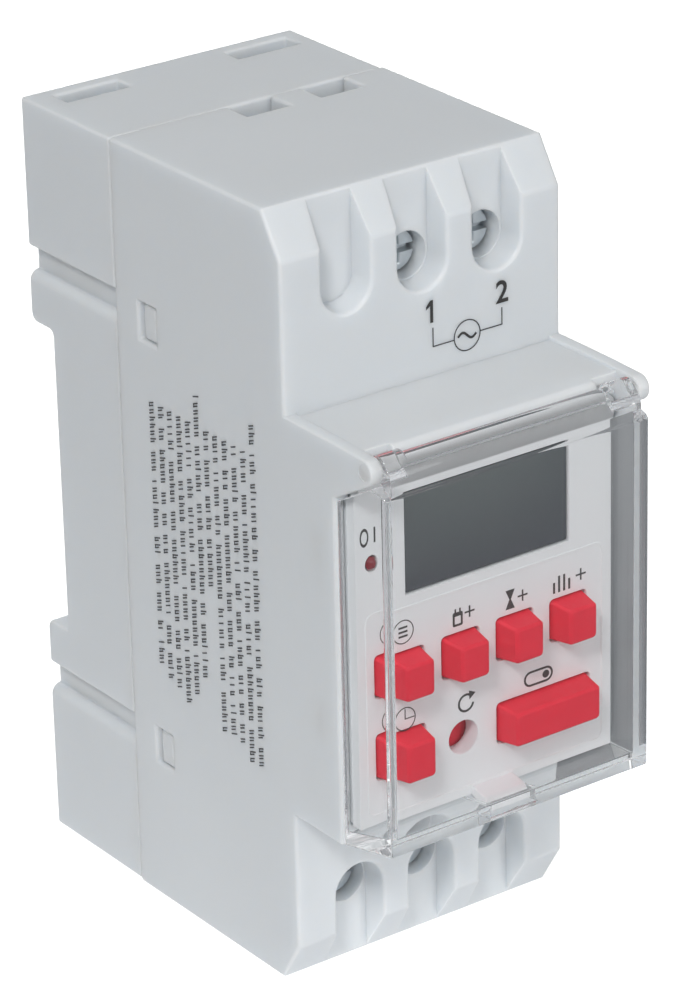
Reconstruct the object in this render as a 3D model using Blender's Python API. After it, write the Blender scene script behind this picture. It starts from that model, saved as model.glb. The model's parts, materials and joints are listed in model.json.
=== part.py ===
"""DIN rail timer, two modules wide: a two-part shell with a clear flip-up cover over a keypad and LCD.

Frame: millimetres in the constants, metres in the meshes. The front looks along -Y and +Z is up.
The origin is the centre of the face that rests on the 35 mm rail.
"""
import math

import bmesh
import bpy
from mathutils import Matrix, Vector

MM = 0.001

# ---------------------------------------------------------------- driving dimensions (mm)
GAP = 0.3                      # running clearance between pieces
HALF_WIDTH = 18.0              # two modules of 18 mm
HALF_HEIGHT = 44.3
WALL = 1.8

BACK = 4.2                     # rearmost face, behind the rail seat at Y = 0
SEAM = -12.9                   # where the two shells meet
SEAM_GAP = 0.2
TOP_EDGE = -40.6               # front end of the top and bottom faces
TERMINAL_FACE = -43.7          # front of the terminal blocks
SLOPE_TOP = 39.35              # where the terminal face breaks into its slope
NOSE_TOP = 22.2
NOSE_BOTTOM = -23.4
LEDGE = -52.1                  # step of the nose that the cover closes on
LIP_FRONT = -55.9              # front end of the roof over the panel
PANEL_FACE = -53.8
COVER_FRONT = -59.6

RECESS_TOP = 18.3
RECESS_BOTTOM = -18.0
FLANGE = 1.3                   # room behind a hook for the 1 mm rail flange

HINGE_Y = -57.2
HINGE_Z = 21.0
EAR_INNER = 16.5
EAR_RADIUS = 1.45
EAR_FALL = 0.562               # slope of an ear's underside
PIN_RADIUS = 0.6
PIN_END = 17.2
LATCH_Z = (25.05, -25.3)       # heights of the snap windows in the sides

TERMINAL_PITCH = 9.7
SCREW_Z = 35.0                 # height of the screw axes above and below the centre
TERMINALS = {1: (0.0, 1), 2: (TERMINAL_PITCH, 1),
             3: (-TERMINAL_PITCH, -1), 4: (0.0, -1), 5: (TERMINAL_PITCH, -1)}
SLOT_FLOOR = -40.75
SLOT_FLOOR_RADIUS = 2.75
SLOT_FACE_RADIUS = 3.15
TUNNEL_RADIUS = 2.6
ENTRY_WIDTH = 5.6
ENTRY_FRONT = -16.9

KEY = 4.6                      # square key, side length at the panel
KEY_PROUD = 2.7
KEY_ROW_Z = -4.3
KEY_LOW_Z = -13.55
KEY_LOW_HEIGHT = 5.0
KEY_DRAFT = 0.45               # how far each side of a cap leans in towards its crown
KEY_FIRST_X = -11.1
KEY_PITCH = 7.15
MANUAL_CENTRE = (7.0, -14.1)
MANUAL_SIZE = (12.2, 4.45)
RESET_CENTRE = (-3.7, -14.15)
RESET_HOLE = 1.9
RESET_FRONT = -51.3            # the recessed key's disc, 2.5 mm below the panel's face
RESET_DISC = 2.5
LED_CENTRE = (-13.7, 8.8)
LED_RADIUS = 0.75
LCD_LEFT, LCD_RIGHT = -10.9, 10.5
LCD_LOW, LCD_HIGH = 4.4, 15.8

PANEL_BACK = -52.4
KEY_FLANGE_BACK = -51.3
BOARD_PINS = [(x, z) for x in (-13.2, 13.2) for z in (-18.6, 18.2)]
MAT_FRONT, MAT_BACK = -49.9, -49.1
DISPLAY_BOARD = (-48.8, -47.2)
POWER_BOARD = (-11.2, -9.6)
BOARD_TOP = POWER_BOARD[0] - GAP

PLATE_FRONT, PLATE_BACK = -19.4, -18.4
CAGE_FRONT, CAGE_BACK = -23.4, -13.0
HEAD_FRONT, HEAD_BACK = -39.0, -36.6
HEAD_RADIUS = 2.3
SCREW_TIP = -19.7

# ---------------------------------------------------------------- building blocks


def clear_scene():
    for item in list(bpy.data.objects):
        bpy.data.objects.remove(item, do_unlink=True)


def material(name, colour, roughness, metallic=0.0, alpha=1.0):
    made = bpy.data.materials.new(name)
    made.use_nodes = True
    shader = made.node_tree.nodes["Principled BSDF"]
    shader.inputs["Base Color"].default_value = (*colour, 1.0)
    shader.inputs["Roughness"].default_value = roughness
    shader.inputs["Metallic"].default_value = metallic
    shader.inputs["Alpha"].default_value = alpha
    made.diffuse_color = (*colour, alpha)
    return made


def new_object(name, shape):
    """Turns a bmesh in millimetres into an object in metres."""
    bmesh.ops.recalc_face_normals(shape, faces=shape.faces)
    bmesh.ops.scale(shape, vec=(MM, MM, MM), verts=shape.verts)
    mesh = bpy.data.meshes.new(name)
    shape.to_mesh(mesh)
    shape.free()
    made = bpy.data.objects.new(name, mesh)
    bpy.context.collection.objects.link(made)
    return made


def to_space(axis, first, second, along):
    """A point of an outline that lies across an axis: (y, z), (x, z) or (x, y)."""
    if axis == "X":
        return (along, first, second)
    if axis == "Y":
        return (first, along, second)
    return (first, second, along)


def loft(name, axis, outline_low, low, outline_high, high):
    """A solid between two outlines with the same number of points."""
    shape = bmesh.new()
    first = [shape.verts.new(to_space(axis, a, b, low)) for a, b in outline_low]
    last = [shape.verts.new(to_space(axis, a, b, high)) for a, b in outline_high]
    shape.faces.new(first)
    shape.faces.new(last)
    count = len(first)
    for i in range(count):
        j = (i + 1) % count
        shape.faces.new((first[i], first[j], last[j], last[i]))
    return new_object(name, shape)


def prism(name, axis, outline, low, high):
    return loft(name, axis, outline, low, outline, high)


def box(name, x, y, z):
    corners = ((x[0], z[0]), (x[1], z[0]), (x[1], z[1]), (x[0], z[1]))
    return prism(name, "Y", corners, y[0], y[1])


def arc(centre, radius, start, end, steps):
    """Points from one angle to another, in degrees, both ends included."""
    points = []
    for i in range(steps + 1):
        angle = math.radians(start + (end - start) * i / steps)
        points.append((centre[0] + radius * math.cos(angle), centre[1] + radius * math.sin(angle)))
    return points


def circle(centre, radius, sides=24):
    return arc(centre, radius, 0.0, 360.0 * (sides - 1) / sides, sides - 1)


def rod(name, axis, centre, radius, low, high, sides=24):
    return prism(name, axis, circle(centre, radius, sides), low, high)


def rounded_rectangle(centre, size, radius, steps=3):
    half_a = size[0] / 2 - radius
    half_b = size[1] / 2 - radius
    points = []
    for turn, (a, b) in enumerate(((1, 1), (-1, 1), (-1, -1), (1, -1))):
        corner = (centre[0] + a * half_a, centre[1] + b * half_b)
        points += arc(corner, radius, 90 * turn, 90 * turn + 90, steps)
    return points


def combine(target, tool, operation):
    """Applies one exact Boolean and removes the tool."""
    modifier = target.modifiers.new("combine", "BOOLEAN")
    modifier.operation = operation
    modifier.object = tool
    modifier.solver = "EXACT"
    bpy.context.view_layer.update()
    depsgraph = bpy.context.evaluated_depsgraph_get()
    result = bpy.data.meshes.new_from_object(target.evaluated_get(depsgraph))
    target.modifiers.clear()
    old = target.data
    target.data = result
    result.name = target.name
    bpy.data.meshes.remove(old)
    bpy.data.objects.remove(tool, do_unlink=True)


def cut(target, *tools):
    for tool in tools:
        combine(target, tool, "DIFFERENCE")


def add(target, *tools):
    for tool in tools:
        combine(target, tool, "UNION")


def finish(piece, finish_material, origin=(0.0, 0.0, 0.0)):
    """Gives a piece its material, smooth round faces and its origin, all in millimetres."""
    piece.data.materials.clear()
    piece.data.materials.append(finish_material)
    shift = Vector(origin) * MM
    piece.data.transform(Matrix.Translation(-shift))
    piece.location = shift
    piece.data.shade_smooth()
    piece.data.set_sharp_from_angle(angle=math.radians(30))
    return piece


def copy_of(piece, name, location, turn):
    """Another object with the same mesh, turned about Y for the lower terminals."""
    made = bpy.data.objects.new(name, piece.data)
    made.location = Vector(location) * MM
    made.rotation_euler = (0.0, turn, 0.0)
    bpy.context.collection.objects.link(made)
    return made


# ---------------------------------------------------------------- shells


def ear_outline():
    """Side view (y, z) of a hinge ear: a tapering cheek with a round tip about the hinge axis."""
    under = 180.0 + math.degrees(math.atan2(1.0, EAR_FALL))
    tip = arc((HINGE_Y, HINGE_Z), EAR_RADIUS, 90.0, under, 9)
    root_z = tip[-1][1] - EAR_FALL * (LEDGE + 0.3 - tip[-1][0])
    return [(TERMINAL_FACE + 1.0, 20.0), (TERMINAL_FACE + 1.0, 22.65), (-52.0, 22.6)] + tip + \
        [(LEDGE + 0.3, root_z), (LEDGE + 0.3, 20.0)]


def slot_outline(radius):
    """Front view (x, z) of a terminal slot: round at its inner end and open to the top face."""
    top = HALF_HEIGHT + 2.0
    return [(radius, top)] + arc((0.0, SCREW_Z), radius, 0.0, -180.0, 12) + [(-radius, top)]


def terminal_slot(x, side):
    """Cutter for one drafted slot; it widens towards the front."""
    front = TERMINAL_FACE - 1.0
    spread = (SLOT_FACE_RADIUS - SLOT_FLOOR_RADIUS) / (SLOT_FLOOR - TERMINAL_FACE)
    wide = SLOT_FACE_RADIUS + spread
    near = [(x + a, side * b) for a, b in slot_outline(wide)]
    far = [(x + a, side * b) for a, b in slot_outline(SLOT_FLOOR_RADIUS)]
    return loft("slot", "Y", near, front, far, SLOT_FLOOR)


def front_cavity():
    """Side view (y, z) of the front shell's inside, from the open back to the nose."""
    slot_back = SLOT_FLOOR + 1.95
    face_back = TERMINAL_FACE + WALL
    high = HALF_HEIGHT - 2.0
    return [(SEAM + 2.0, -high), (SEAM + 2.0, high), (slot_back, high), (slot_back, 30.2),
            (face_back, 30.2), (face_back, NOSE_TOP - 1.1), (LEDGE - 0.4, NOSE_TOP - 1.1),
            (LEDGE - 0.4, NOSE_BOTTOM + 2.0), (face_back, NOSE_BOTTOM + 2.0), (face_back, -30.2),
            (slot_back, -30.2), (slot_back, -high)]


def make_front_housing(plastic):
    seam = SEAM - SEAM_GAP / 2
    profile = [(seam, -HALF_HEIGHT), (seam, HALF_HEIGHT), (TOP_EDGE, HALF_HEIGHT),
               (TERMINAL_FACE, SLOPE_TOP), (TERMINAL_FACE, NOSE_TOP), (LEDGE, NOSE_TOP),
               (LEDGE, NOSE_BOTTOM), (TERMINAL_FACE, NOSE_BOTTOM), (TERMINAL_FACE, -SLOPE_TOP),
               (TOP_EDGE, -HALF_HEIGHT)]
    shell = prism("front_housing", "X", profile, -HALF_WIDTH, HALF_WIDTH)
    inner = HALF_WIDTH - WALL
    cut(shell, prism("cavity", "X", front_cavity(), -inner, inner))

    lip = 0.7
    roof = [(LEDGE + 0.6, NOSE_TOP - 1.1), (LEDGE + 0.6, NOSE_TOP)]
    roof += arc((LIP_FRONT + lip, NOSE_TOP - lip), lip, 90.0, 180.0, 5)
    roof += [(LIP_FRONT, NOSE_TOP - 1.1)]
    add(shell, prism("roof", "X", roof, -EAR_INNER - 0.2, EAR_INNER + 0.2))
    for side in (-1, 1):
        low, high = sorted((side * EAR_INNER, side * HALF_WIDTH))
        add(shell, prism("ear", "X", ear_outline(), low, high))
        low, high = sorted((side * 13.1, side * EAR_INNER))
        cut(shell, box("lug_notch", (low, high), (LIP_FRONT - 1.0, LIP_FRONT + 1.0), (20.5, 23.5)))
        low, high = sorted((side * 15.0, side * (PIN_END + GAP)))
        cut(shell, rod("pin_hole", "X", (HINGE_Y, HINGE_Z), PIN_RADIUS + 0.25, low, high, 16))
        low, high = sorted((side * (HALF_WIDTH - 0.1), side * 19.0))
        cut(shell, rod("ear_dimple", "X", (HINGE_Y, HINGE_Z), PIN_RADIUS + 0.25, low, high, 20))
        low, high = sorted((side * 15.0, side * 19.0))
        for z in LATCH_Z:
            cut(shell, box("latch_window", (low, high), (-20.6, -17.4), (z - 2.15, z + 2.15)))
        for z in (-10.0, 10.0):
            low, high = sorted((side * 15.0, side * 17.1))
            cut(shell, box("panel_catch", (low, high), (-49.5, -47.5), (z - 2.0, z + 2.0)))

    for x, side in list(TERMINALS.values()) + [(-TERMINAL_PITCH, 1)]:
        cut(shell, terminal_slot(x, side))
    for x, side in TERMINALS.values():
        low, high = sorted((side * 39.3, side * (HALF_HEIGHT - 1.0)))
        add(shell, box("wire_guide", (x - 3.7, x + 3.7), (ENTRY_FRONT - 0.9, seam), (low, high)))
        low, high = sorted((side * 38.0, side * (HALF_HEIGHT + 1.0)))
        half = ENTRY_WIDTH / 2
        cut(shell, box("wire_entry", (x - half, x + half), (ENTRY_FRONT, seam + 1.0), (low, high)))
        centre = (x, side * SCREW_Z)
        add(shell, rod("tunnel", "Y", centre, TUNNEL_RADIUS + 0.8, -39.5, -28.0))
        cut(shell, rod("screw_hole", "Y", centre, TUNNEL_RADIUS, -42.0, -27.0))
    return finish(shell, plastic)


def side_groove(side, high):
    """Cutter (x, z) for a groove along the rear shell: a sharp upper edge and a rounded lower lip."""
    depth = 1.2
    outer = HALF_WIDTH - 0.15
    low = high - 2.9
    points = [(outer - depth, high), (outer + 1.0, high), (outer + 1.0, low - depth)]
    points += arc((outer - depth, low - depth), depth, 0.0, 90.0, 5)
    return prism("groove", "Y", [(side * x, z) for x, z in points], SEAM - 1.0, BACK + 1.0)


def make_rear_housing(plastic):
    seam = SEAM + SEAM_GAP / 2
    outer = HALF_WIDTH - 0.15
    high = HALF_HEIGHT - 0.15
    fillet = 0.8
    lip = 1.0
    profile = [(seam, -high), (seam, high), (BACK, high)]
    profile += [(BACK, RECESS_TOP + lip)] + arc((BACK - lip, RECESS_TOP + lip), lip, -30.0, -90.0, 3)
    profile += arc((fillet, RECESS_TOP - fillet), fillet, 90.0, 180.0, 4)
    profile += [(0.0, RECESS_BOTTOM)]
    profile += arc((BACK - lip, RECESS_BOTTOM - lip), lip, 90.0, 0.0, 4)
    profile += [(BACK, -high)]
    shell = prism("rear_housing", "X", profile, -outer, outer)

    inside = [(seam - 1.0, -42.0), (seam - 1.0, 42.0), (1.7, 42.0), (1.7, 20.6), (-1.9, 20.6),
              (-1.9, -20.6), (1.7, -20.6), (1.7, -42.0)]
    inner = outer - 2.25
    cut(shell, prism("cavity", "X", inside, -inner, inner))

    ring_outer = HALF_WIDTH - WALL - GAP
    ring_high = HALF_HEIGHT - 2.0 - GAP
    ring = box("ring", (-ring_outer, ring_outer), (seam - 1.9, seam + 1.5), (-ring_high, ring_high))
    cut(ring, box("ring_hole", (1.0 - ring_outer, ring_outer - 1.0), (seam - 3.0, seam + 3.0),
                  (1.0 - ring_high, ring_high - 1.0)))
    for x, side in TERMINALS.values():
        low, top = sorted((side * 36.0, side * 46.0))
        cut(ring, box("wire_gap", (x - 4.0, x + 4.0), (seam - 3.0, seam), (low, top)))
    add(shell, ring)

    for side in (-1, 1):
        cut(shell, side_groove(side, 27.1), side_groove(side, -23.4))
        for z in LATCH_Z:
            low, top = sorted((side * 14.4, side * 15.9))
            add(shell, box("tongue", (low, top), (-22.3, -8.0), (z - 1.75, z + 1.75)))
            tooth = [(15.5, -20.4), (17.75, -20.4), (17.75, -18.2), (17.2, -17.6), (15.5, -17.6)]
            add(shell, prism("tooth", "Z", [(side * x, y) for x, y in tooth], z - 1.95, z + 1.95))
        slot = (side * 11.2 - 3.6, side * 11.2 + 4.6)
        cut(shell, box("top_slot", slot, (-0.5, 2.3), (high - 3.0, high + 1.0)))
        for z in (-17.0, 17.0):
            add(shell, rod("board_post", "Y", (side * 11.0, z), 1.6, POWER_BOARD[1] + GAP, -1.5, 12))

    cut(shell, box("hook_relief", (-8.6, 8.6), (-0.9, 0.8), (15.6, RECESS_TOP + 0.2)))
    cut(shell, box("clip_relief", (-7.0, 7.0), (-0.9, 0.8), (RECESS_BOTTOM - 0.2, -15.4)))
    hook = [(FLANGE, 16.2), (FLANGE, 19.5), (BACK, 19.5), (BACK, 17.0), (BACK - 0.8, 16.2)]
    add(shell, prism("hook", "X", hook, -8.0, 8.0))
    add(shell, box("clip_block", (-9.3, 9.3), (-5.0, 2.0), (-43.0, -20.0)))
    bottom = (-high - 1.0, RECESS_BOTTOM + 3.0)
    cut(shell, box("clip_channel", (-7.5, 7.5), (0.95, 2.5), (bottom[0], RECESS_BOTTOM + 1.0)))
    cut(shell, box("clip_mouth", (-6.3, 6.3), (0.95, BACK + 1.0), bottom))
    cut(shell, box("spring_pocket", (-2.2, 2.2), (-3.2, 1.2), (-38.5, -24.0)))
    return finish(shell, plastic)


def make_din_clip(plastic):
    """T-shaped slider: its tip hooks the lower rail flange and its tail has a screwdriver slot."""
    clip = box("din_clip", (-6.0, 6.0), (FLANGE, BACK - 0.2), (-43.8, -16.0))
    add(clip, box("flanges", (-7.2, 7.2), (FLANGE, 2.2), (-42.0, RECESS_BOTTOM - 0.5)))
    tip = [(2.2, -15.0), (BACK + 1.0, -15.0), (BACK + 1.0, -18.2)]
    cut(clip, prism("tip_bevel", "X", tip, -7.0, 7.0))
    cut(clip, box("tool_slot", (-2.5, 2.5), (0.0, BACK + 1.0), (-42.0, -40.4)))
    add(clip, box("spring_foot", (-1.8, 1.8), (-2.7, FLANGE + 0.5), (-27.2, -25.4)))
    return finish(clip, plastic, (0.0, FLANGE, -30.0))


def make_clip_spring(steel):
    """Compression coil between the pocket's floor and the clip's foot."""
    low, high = -38.1, -27.6
    radius, wire, coils, per_turn, ring = 1.25, 0.28, 6, 12, 6
    centre_y = -0.95
    shape = bmesh.new()
    loops = []
    total = coils * per_turn
    for i in range(total + 1):
        angle = 2.0 * math.pi * i / per_turn
        z = low + wire + (high - low - 2.0 * wire) * i / total
        outward = Vector((math.cos(angle), math.sin(angle), 0.0))
        middle = Vector((0.0, centre_y, z)) + outward * radius
        loop = []
        for k in range(ring):
            turn = 2.0 * math.pi * k / ring
            offset = outward * math.cos(turn) + Vector((0.0, 0.0, 1.0)) * math.sin(turn)
            loop.append(shape.verts.new(middle + offset * wire))
        loops.append(loop)
    for first, last in zip(loops, loops[1:]):
        for k in range(ring):
            j = (k + 1) % ring
            shape.faces.new((first[k], first[j], last[j], last[k]))
    shape.faces.new(loops[0])
    shape.faces.new(loops[-1])
    return finish(new_object("din_clip_spring", shape), steel, (0.0, centre_y, low))


# ---------------------------------------------------------------- clear cover


def drafted(name, outline, front, rear):
    """A solid with a side view (y, z) whose half width runs from front to rear along the cover."""
    draft = (rear - front) / (LEDGE - GAP - COVER_FRONT)
    shape = bmesh.new()
    left = [shape.verts.new((-front - draft * (y - COVER_FRONT), y, z)) for y, z in outline]
    right = [shape.verts.new((front + draft * (y - COVER_FRONT), y, z)) for y, z in outline]
    shape.faces.new(left)
    shape.faces.new(right)
    for i in range(len(outline)):
        j = (i + 1) % len(outline)
        shape.faces.new((left[i], left[j], right[j], right[i]))
    return new_object(name, shape)


def make_cover(clear_plastic):
    rear = LEDGE - GAP
    inside = COVER_FRONT + 1.5
    outline = [(rear, -23.1), (COVER_FRONT, -22.0), (COVER_FRONT, 18.3), (COVER_FRONT + 0.4, 18.7),
               (HINGE_Y - 0.2, 19.1), (rear, 16.25)]
    cover = drafted("clear_cover", outline, 17.05, 17.9)
    hollow = [(rear + 1.0, -21.95), (inside, -20.6), (inside, 25.0), (rear + 1.0, 25.0)]
    cut(cover, drafted("hollow", hollow, 15.45, 16.85))
    bar = arc((HINGE_Y, 19.8), 2.2, 180.0, 90.0, 8)
    bar += arc((HINGE_Y, HINGE_Z), 1.0, 90.0, -90.0, 8)[1:]
    bar += [(inside, 19.2), (inside, 17.6), (COVER_FRONT + 0.2, 17.6)]
    add(cover, prism("bar", "X", bar, -16.2, 16.2))
    for side in (-1, 1):
        low, high = sorted((side * 13.4, side * 16.2))
        add(cover, rod("lug", "X", (HINGE_Y, HINGE_Z), 1.4, low, high, 20))
        low, high = sorted((side * 15.5, side * PIN_END))
        add(cover, rod("pin", "X", (HINGE_Y, HINGE_Z), PIN_RADIUS, low, high, 16))
    cut(cover, box("latch_notch", (-3.0, 3.0), (-56.9, rear + 1.0), (-25.0, -20.0)))
    return finish(cover, clear_plastic, (0.0, HINGE_Y, HINGE_Z))


# ---------------------------------------------------------------- front panel and keypad


def key_places():
    """Name, centre (x, z) and size of every key."""
    square = (KEY, KEY)
    row = [("button_program", 0), ("button_day", 1), ("button_hour", 2), ("button_minute", 3)]
    places = [(name, (KEY_FIRST_X + i * KEY_PITCH, KEY_ROW_Z), square) for name, i in row]
    places.append(("button_clock", (KEY_FIRST_X, KEY_LOW_Z), (KEY, KEY_LOW_HEIGHT)))
    places.append(("button_manual", MANUAL_CENTRE, MANUAL_SIZE))
    return places


def make_front_panel(plastic):
    panel = box("front_panel", (-16.2, 16.2), (PANEL_FACE, PANEL_BACK), (-21.2, 20.8))
    skirt = box("skirt", (-15.9, 15.9), (PANEL_BACK - 0.5, -45.5), (-21.1, 20.8))
    cut(skirt, box("inside", (-14.7, 14.7), (PANEL_BACK, -44.0), (-19.9, 19.6)))
    add(panel, skirt)
    cut(panel, box("lcd_window", (LCD_LEFT, LCD_RIGHT), (-55.0, -51.0), (LCD_LOW, LCD_HIGH)))
    for name, centre, size in key_places():
        window = rounded_rectangle(centre, (size[0] + 0.4, size[1] + 0.4), 0.5)
        cut(panel, prism("window", "Y", window, -55.0, -51.0))
    collar_back = RESET_FRONT - GAP
    add(panel, rod("reset_collar", "Y", RESET_CENTRE, RESET_HOLE + 0.6, PANEL_BACK - 0.5, collar_back, 28))
    cut(panel, rod("reset_hole", "Y", RESET_CENTRE, RESET_HOLE, -55.0, -50.0, 28))
    cut(panel, rod("led_hole", "Y", LED_CENTRE, LED_RADIUS + 0.15, -55.0, -51.0))
    for pin in BOARD_PINS:
        add(panel, rod("board_pin", "Y", pin, 0.6, PANEL_BACK - 0.5, -46.4, 12))
    for side in (-1, 1):
        for z in (-10.0, 10.0):
            low, high = sorted((side * 15.5, side * 16.8))
            add(panel, box("catch", (low, high), (-49.2, -47.8), (z - 1.7, z + 1.7)))
    tab = [(PANEL_FACE + 0.4, -19.9), (PANEL_FACE, -20.3), (-56.0, -20.7), (-56.4, -21.1),
           (-56.4, -22.1), (-55.6, -22.1), (PANEL_FACE + 0.4, -21.1)]
    add(panel, prism("latch_tab", "X", tab, -2.7, 2.7))
    return finish(panel, plastic, (0.0, PANEL_FACE, 0.0))


def make_key(name, centre, size, rubber):
    """A key with a drafted cap, a flange behind the panel and a contact plunger."""
    front = PANEL_FACE - KEY_PROUD
    foot = rounded_rectangle(centre, size, 0.45)
    lean = 2.0 * KEY_DRAFT
    crown = rounded_rectangle(centre, (size[0] - lean, size[1] - 0.6 * lean), 0.45)
    face = rounded_rectangle(centre, (size[0] - lean - 0.5, size[1] - 0.6 * lean - 0.5), 0.35)
    key = loft(name, "Y", foot, PANEL_FACE + 0.4, crown, front + 0.3)
    add(key, loft("crown", "Y", face, front, crown, front + 0.31))
    add(key, prism("neck", "Y", foot, PANEL_FACE + 0.3, KEY_FLANGE_BACK - 0.4))
    flange = rounded_rectangle(centre, (size[0] + 1.4, size[1] + 1.4), 0.5)
    add(key, prism("flange", "Y", flange, PANEL_BACK + GAP, KEY_FLANGE_BACK))
    add(key, rod("plunger", "Y", centre, 1.2, KEY_FLANGE_BACK - 0.4, MAT_FRONT - 0.2, 12))
    return finish(key, rubber, (centre[0], PANEL_FACE, centre[1]))


def make_reset_key(rubber):
    """Disc behind a hole in the panel, pressed with a pen tip."""
    back = RESET_FRONT + 0.5
    key = rod("button_reset", "Y", RESET_CENTRE, RESET_DISC, RESET_FRONT, back, 28)
    add(key, rod("plunger", "Y", RESET_CENTRE, 1.0, back - 0.2, back + 1.0, 12))
    return finish(key, rubber, (RESET_CENTRE[0], RESET_FRONT, RESET_CENTRE[1]))


def make_keypad_mat(rubber):
    """Silicone sheet under the keys, open where the plungers reach the board."""
    mat = box("keypad_mat", (-14.2, 14.2), (MAT_FRONT, MAT_BACK), (-17.4, -0.9))
    for name, centre, size in key_places():
        cut(mat, rod("dome", "Y", centre, 1.6, MAT_FRONT - 1.0, MAT_BACK + 1.0, 16))
    reset_room = RESET_DISC + GAP
    cut(mat, rod("dome", "Y", RESET_CENTRE, reset_room, MAT_FRONT - 1.0, MAT_BACK + 1.0, 24))
    return finish(mat, rubber, (0.0, MAT_BACK, -9.0))


# ---------------------------------------------------------------- display module


def make_lcd(glass):
    """Glass with its front polariser standing in the panel window."""
    lcd = box("lcd_glass", (-11.15, 11.5), (PANEL_BACK + GAP, -50.6), (3.2, 17.8))
    window = (LCD_LEFT + 0.15, LCD_RIGHT - 0.15)
    height = (LCD_LOW + 0.15, LCD_HIGH - 0.15)
    add(lcd, box("polariser", window, (PANEL_FACE + 0.25, PANEL_BACK + GAP + 0.5), height))
    return finish(lcd, glass, (0.0, PANEL_BACK, 10.0))


def make_lcd_frame(plastic):
    frame = box("lcd_frame", (-11.7, 12.2), (-51.9, MAT_BACK), (2.4, 18.6))
    cut(frame, box("opening", (-11.4, 11.75), (-53.0, -48.0), (2.95, 18.05)))
    return finish(frame, plastic, (0.0, MAT_BACK, 10.0))


def make_zebra_strip(rubber):
    outline = rounded_rectangle((0.2, 17.0), (22.0, 1.4), 0.3)
    strip = prism("zebra_strip", "Y", outline, -50.3, MAT_BACK)
    return finish(strip, rubber, (0.0, MAT_BACK, 17.0))


def make_led(lens):
    """Round lamp: a domed lens on a collar that stands on the board."""
    x, z = LED_CENTRE
    led = rod("indicator_led", "Y", LED_CENTRE, LED_RADIUS, PANEL_FACE + 0.1, MAT_BACK, 20)
    dome = loft("dome", "Y", circle(LED_CENTRE, 0.6 * LED_RADIUS, 20), PANEL_FACE - 0.3,
                circle(LED_CENTRE, LED_RADIUS, 20), PANEL_FACE + 0.15)
    add(led, dome)
    return finish(led, lens, (x, PANEL_FACE, z))


def make_display_board(laminate):
    board = box("display_board", (-14.4, 14.4), DISPLAY_BOARD, (-19.6, 19.3))
    for pin in BOARD_PINS:
        cut(board, rod("pin_hole", "Y", pin, 0.9, -50.0, -46.0, 12))
    return finish(board, laminate, (0.0, DISPLAY_BOARD[0], 0.0))


def make_timer_chip(epoxy):
    """Flat controller package with a row of leads on two sides."""
    back = DISPLAY_BOARD[1] + GAP
    chip = box("timer_chip", (-9.0, 1.0), (back + 0.1, back + 1.5), (-5.0, 5.0))
    for i in range(8):
        z = -4.2 + 1.2 * i
        add(chip, box("lead", (-10.2, 2.2), (back, back + 0.7), (z - 0.25, z + 0.25)))
    return finish(chip, epoxy, (-4.0, back, 0.0))


def make_crystal(steel):
    back = DISPLAY_BOARD[1] + GAP
    can = rod("crystal", "Z", (-8.0, back + 1.1), 1.05, 8.5, 14.5, 16)
    add(can, rod("base", "Z", (-8.0, back + 1.1), 0.85, 7.6, 8.7, 12))
    return finish(can, steel, (-8.0, back + 1.1, 11.0))


def make_backup_battery(steel):
    """Button cell standing on the back of the display board."""
    back = DISPLAY_BOARD[1] + GAP
    cell = rod("backup_battery", "Y", (7.0, -12.0), 5.8, back, back + 4.0, 28)
    add(cell, rod("cap", "Y", (7.0, -12.0), 4.8, back + 3.5, back + 4.8, 28))
    return finish(cell, steel, (7.0, back, -12.0))


# ---------------------------------------------------------------- power board


def make_power_board(laminate):
    board = box("power_board", (-14.0, 14.0), POWER_BOARD, (-28.6, 28.6))
    for x in (-5.5, 5.5):
        cut(board, rod("vent", "Y", (x, 24.5), 1.3, -12.0, -9.0, 12))
    cut(board, box("creepage_slot", (-1.0, -0.2), (-12.0, -9.0), (-25.0, -12.0)))
    return finish(board, laminate, (0.0, POWER_BOARD[0], 0.0))


def make_relay(plastic):
    """Sealed sixteen-ampere relay with its moulded base rim."""
    outline = rounded_rectangle((-7.2, -3.6), (12.4, 28.6), 0.6, 2)
    relay = prism("relay", "Y", outline, BOARD_TOP - 15.4, BOARD_TOP - 1.0)
    rim = rounded_rectangle((-7.2, -3.6), (12.8, 29.0), 0.6, 2)
    add(relay, prism("rim", "Y", rim, BOARD_TOP - 1.6, BOARD_TOP))
    cut(relay, rod("vent_dimple", "Y", (-11.8, 8.5), 0.7, BOARD_TOP - 16.0, BOARD_TOP - 14.9, 12))
    return finish(relay, plastic, (-7.2, BOARD_TOP, -3.6))


def make_dropper_capacitor(plastic):
    outline = rounded_rectangle((6.2, 6.0), (8.6, 18.0), 0.5, 2)
    body = prism("dropper_capacitor", "Y", outline, BOARD_TOP - 14.5, BOARD_TOP)
    return finish(body, plastic, (6.2, BOARD_TOP, 6.0))


def make_smoothing_capacitor(sleeve):
    centre = (7.0, -9.5)
    can = rod("smoothing_capacitor", "Y", centre, 4.0, BOARD_TOP - 11.5, BOARD_TOP - 1.6, 24)
    add(can, rod("crimp", "Y", centre, 3.7, BOARD_TOP - 1.9, BOARD_TOP - 1.1, 24))
    add(can, rod("base", "Y", centre, 4.0, BOARD_TOP - 1.3, BOARD_TOP, 24))
    for turn in (0.0, math.pi / 3.0, 2.0 * math.pi / 3.0):
        score = box("score", (-3.0, 3.0), (BOARD_TOP - 12.0, BOARD_TOP - 11.3), (-0.15, 0.15))
        score.rotation_euler = (0.0, turn, 0.0)
        score.location = (centre[0] * MM, 0.0, centre[1] * MM)
        cut(can, score)
    return finish(can, sleeve, (centre[0], BOARD_TOP, centre[1]))


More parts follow.
